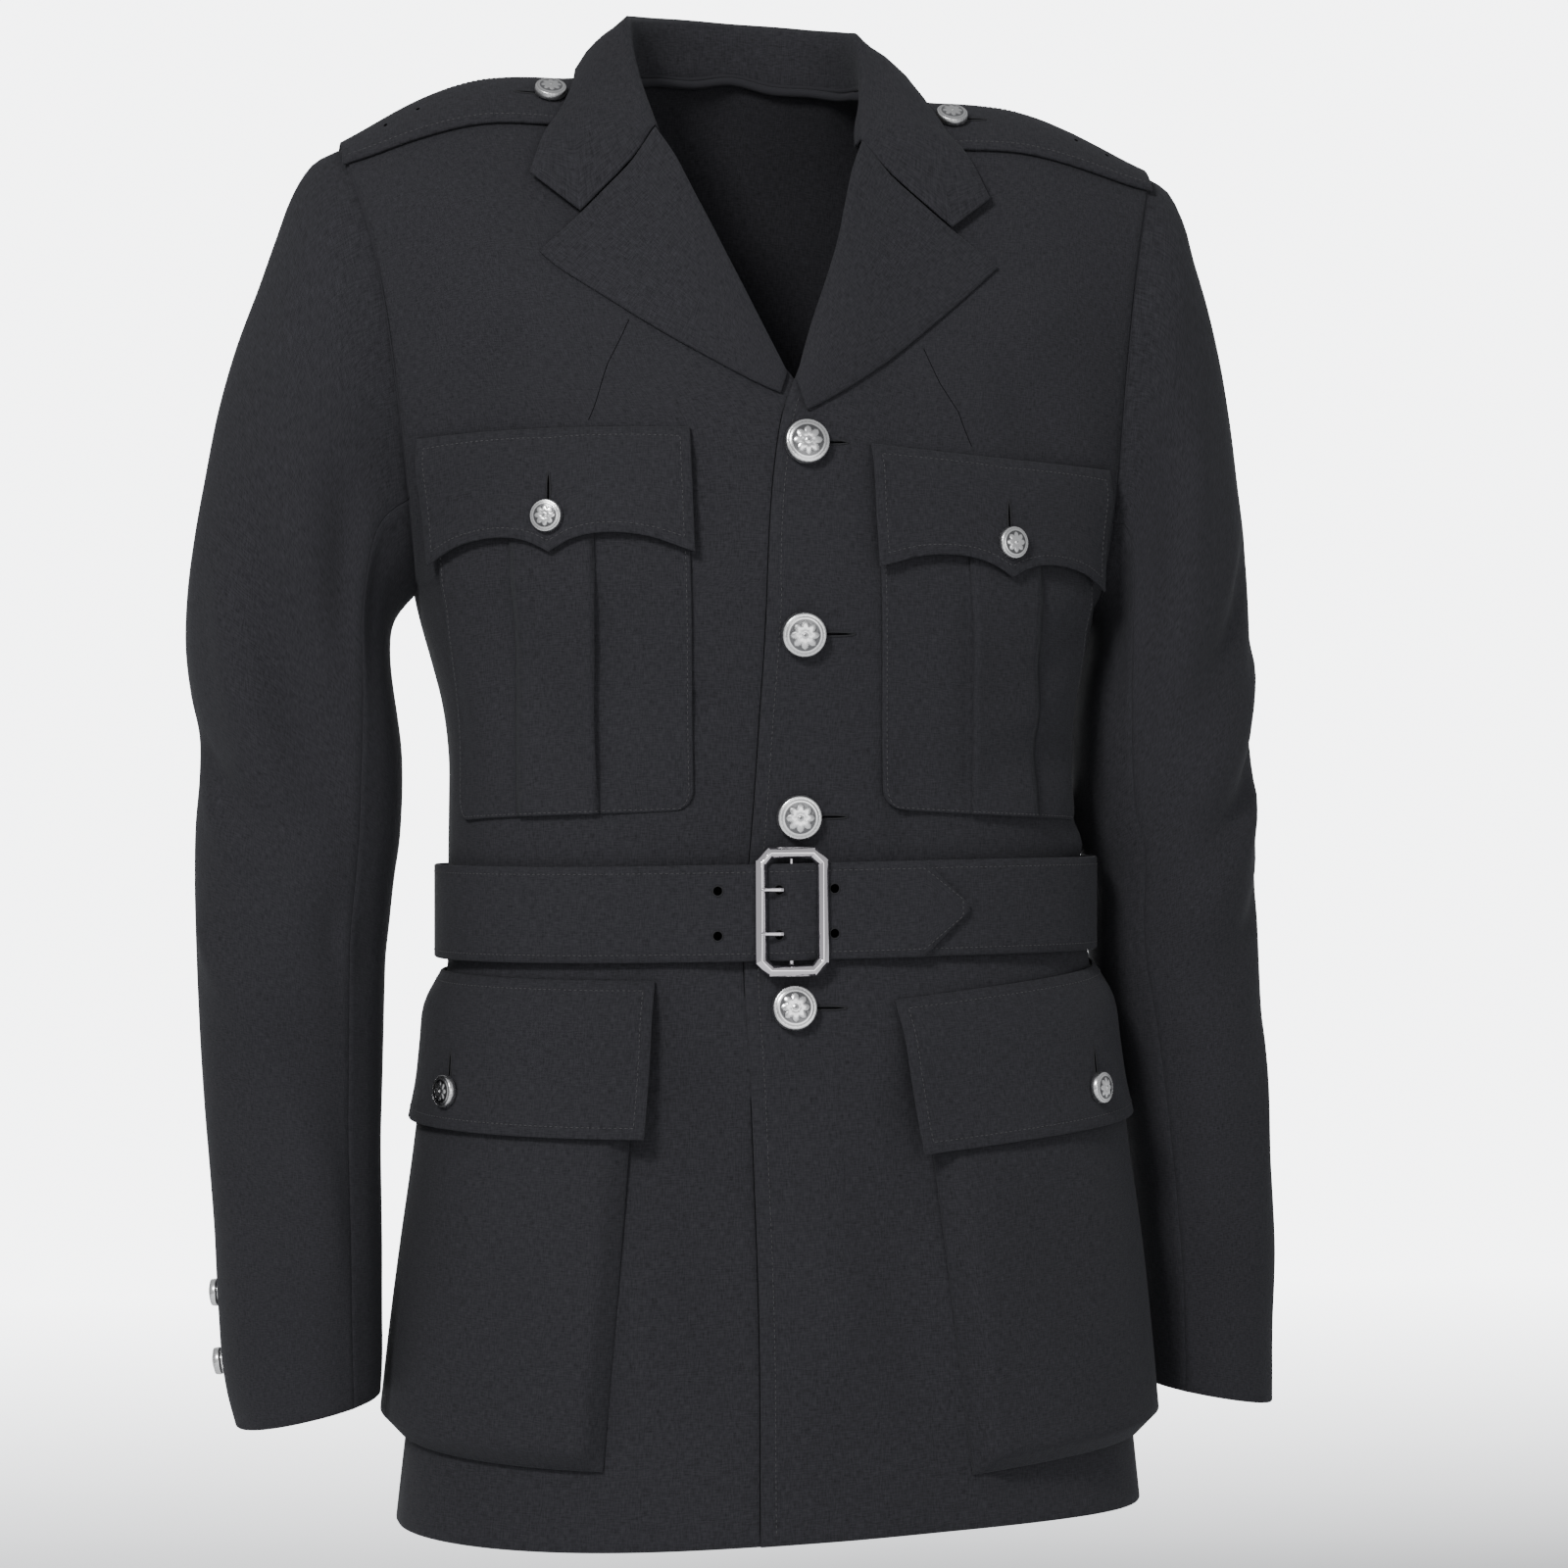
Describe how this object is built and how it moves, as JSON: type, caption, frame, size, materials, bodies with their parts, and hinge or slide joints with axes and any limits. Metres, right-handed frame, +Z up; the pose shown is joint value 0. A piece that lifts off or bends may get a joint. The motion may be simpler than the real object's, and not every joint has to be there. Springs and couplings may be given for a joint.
{
  "type": "uniform tunic",
  "caption": "Single-breasted uniform tunic in dark wool with notched lapels, shoulder straps, flapped chest and hip pockets, metal buttons and a cloth belt with a metal buckle.",
  "frame": {"origin": "centre of the neck base, level with the side of the neck", "axes": "+Z up from hem to collar, -Y out of the front, +X towards the wearer's left sleeve"},
  "size_m": [0.6078, 0.2654, 0.8331],
  "materials": {
    "tunic_cloth": "matt fine-ribbed wool, near black",
    "button_silver": "bright silver plating with raised ornament",
    "buckle_chrome": "polished chrome plating"
  },
  "bodies": {
    "root": {"back": "tunic_cloth", "front_left": "tunic_cloth", "front_right": "tunic_cloth", "lapel_left": "tunic_cloth", "lapel_right": "tunic_cloth", "collar": "tunic_cloth", "sleeve_top_left": "tunic_cloth", "sleeve_under_left": "tunic_cloth", "sleeve_top_right": "tunic_cloth", "sleeve_under_right": "tunic_cloth", "epaulette_left": "tunic_cloth", "epaulette_right": "tunic_cloth", "chest_pocket_left": "tunic_cloth", "chest_pocket_right": "tunic_cloth", "chest_flap_left": "tunic_cloth", "chest_flap_right": "tunic_cloth", "hip_pocket_left": "tunic_cloth", "hip_pocket_right": "tunic_cloth", "hip_flap_left": "tunic_cloth", "hip_flap_right": "tunic_cloth", "belt": "tunic_cloth", "buckle_frame": "buckle_chrome", "buckle_bar": "buckle_chrome", "buckle_prong_upper": "buckle_chrome", "buckle_prong_lower": "buckle_chrome", "button_front_1": "button_silver", "button_front_2": "button_silver", "button_front_3": "button_silver", "button_front_4": "button_silver", "button_chest_left": "button_silver", "button_chest_right": "button_silver", "button_hip_left": "button_silver", "button_hip_right": "button_silver", "button_epaulette_left": "button_silver", "button_epaulette_right": "button_silver", "button_cuff_left_1": "button_silver", "button_cuff_left_2": "button_silver", "button_cuff_right_1": "button_silver", "button_cuff_right_2": "button_silver"}
  },
  "joints": []
}
